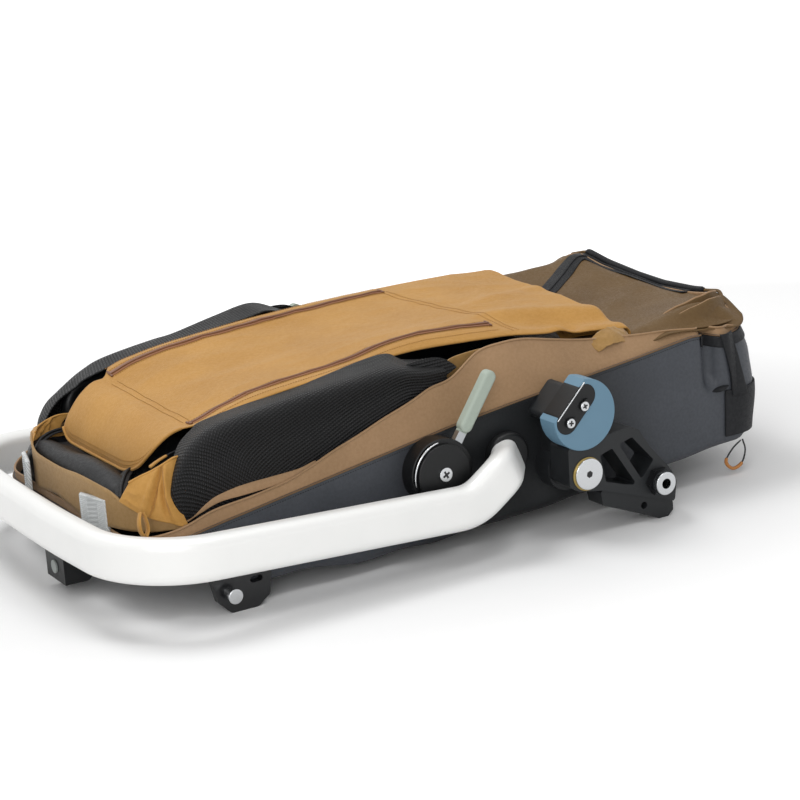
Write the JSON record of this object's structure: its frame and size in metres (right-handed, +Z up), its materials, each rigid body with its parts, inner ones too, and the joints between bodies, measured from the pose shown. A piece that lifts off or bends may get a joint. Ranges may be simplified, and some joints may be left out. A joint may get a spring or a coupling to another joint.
{
  "type": "dog bike trailer, folded",
  "caption": "Folded dog bike trailer: fabric tub on a tube frame with a folding cage cover, elastomer suspension arms and a swing-over push bar, wheels taken off.",
  "frame": {"origin": "on the floor under the middle of the folded trailer's overall box", "axes": "+X to the rear, +Y to the trailer's right side, +Z up; the push bar's crossbar is at -X"},
  "size_m": [0.9437, 0.626, 0.252],
  "materials": {
    "tub_fabric": "coated dark grey cloth, soft sheen",
    "brown_fabric": "taupe brown coated cloth",
    "golden_fabric": "mustard woven cloth, matt",
    "black_mesh": "black coated mesh, glossy threads",
    "brown_webbing": "woven webbing",
    "frame_black": "black powder coat",
    "black_casting": "black cast alloy, satin",
    "cage_tube": "black anodised tube",
    "bar_aluminium": "satin silver-white",
    "bright_steel": "polished",
    "black_steel": "black oxide",
    "blue_elastomer": "blue-grey polyurethane, satin",
    "black_plastic": "moulded, satin",
    "grip_rubber": "soft grey-green rubber",
    "clear_reflector": "clear prismatic plastic",
    "grey_plastic": "moulded grey plug",
    "cord_fabric": "braided black cord",
    "tan_rubber": "orange-brown tube"
  },
  "bodies": {
    "base": {"tub": "tub_fabric", "tub_skirt": "brown_fabric", "rear_panel": "brown_fabric", "floor_frame": "frame_black", "cover_rear": "golden_fabric", "nose_block": "black_plastic", "nose_button": "grey_plastic", "drawcord": "cord_fabric", "drawcord_sleeve": "tan_rubber", "front_strap": "brown_webbing", "suspension_housing_left": "black_casting", "suspension_housing_right": "black_casting", "suspension_arm_left": "black_casting", "suspension_arm_right": "black_casting", "arm_tail_left": "black_casting", "arm_tail_right": "black_casting", "pivot_bolt_left": "bright_steel", "pivot_bolt_right": "bright_steel", "axle_nut_left": "black_steel", "axle_nut_right": "black_steel", "axle_ring_left": "bright_steel", "axle_ring_right": "bright_steel", "elastomer_puck_left": "blue_elastomer", "elastomer_puck_right": "blue_elastomer", "puck_clamp_left": "black_plastic", "puck_clamp_right": "black_plastic", "lock_drum_left": "black_plastic", "lock_drum_right": "black_plastic", "cage_pin_left": "bright_steel", "cage_pin_right": "bright_steel", "lock_lever_left": "grip_rubber", "lock_lever_right": "grip_rubber", "bar_hub_boss_left": "black_plastic", "bar_hub_boss_right": "black_plastic", "front_bracket_left": "frame_black", "front_bracket_right": "frame_black", "pull_pin_left": "bright_steel", "pull_pin_right": "bright_steel", "reflector_left": "clear_reflector", "reflector_right": "clear_reflector"},
    "push_bar": {"push_bar": "bar_aluminium", "bar_hub_cap_left": "black_plastic", "bar_hub_cap_right": "black_plastic"},
    "cage": {"cage_frame": "cage_tube", "cover_front": "golden_fabric", "mesh_side_left": "black_mesh", "mesh_side_right": "black_mesh"}
  },
  "joints": [
    {"name": "push_bar_swing", "type": "hinge", "parent": "base", "child": "push_bar", "pos_m": [0.0665, 0, 0.11], "axis": [0, 1, 0], "range_deg": [0, 110]},
    {"name": "cage_fold", "type": "hinge", "parent": "base", "child": "cage", "pos_m": [-0.0315, 0, 0.11], "axis": [0, 1, 0], "range_deg": [0, 60], "deforming": ["cover_rear"]}
  ]
}
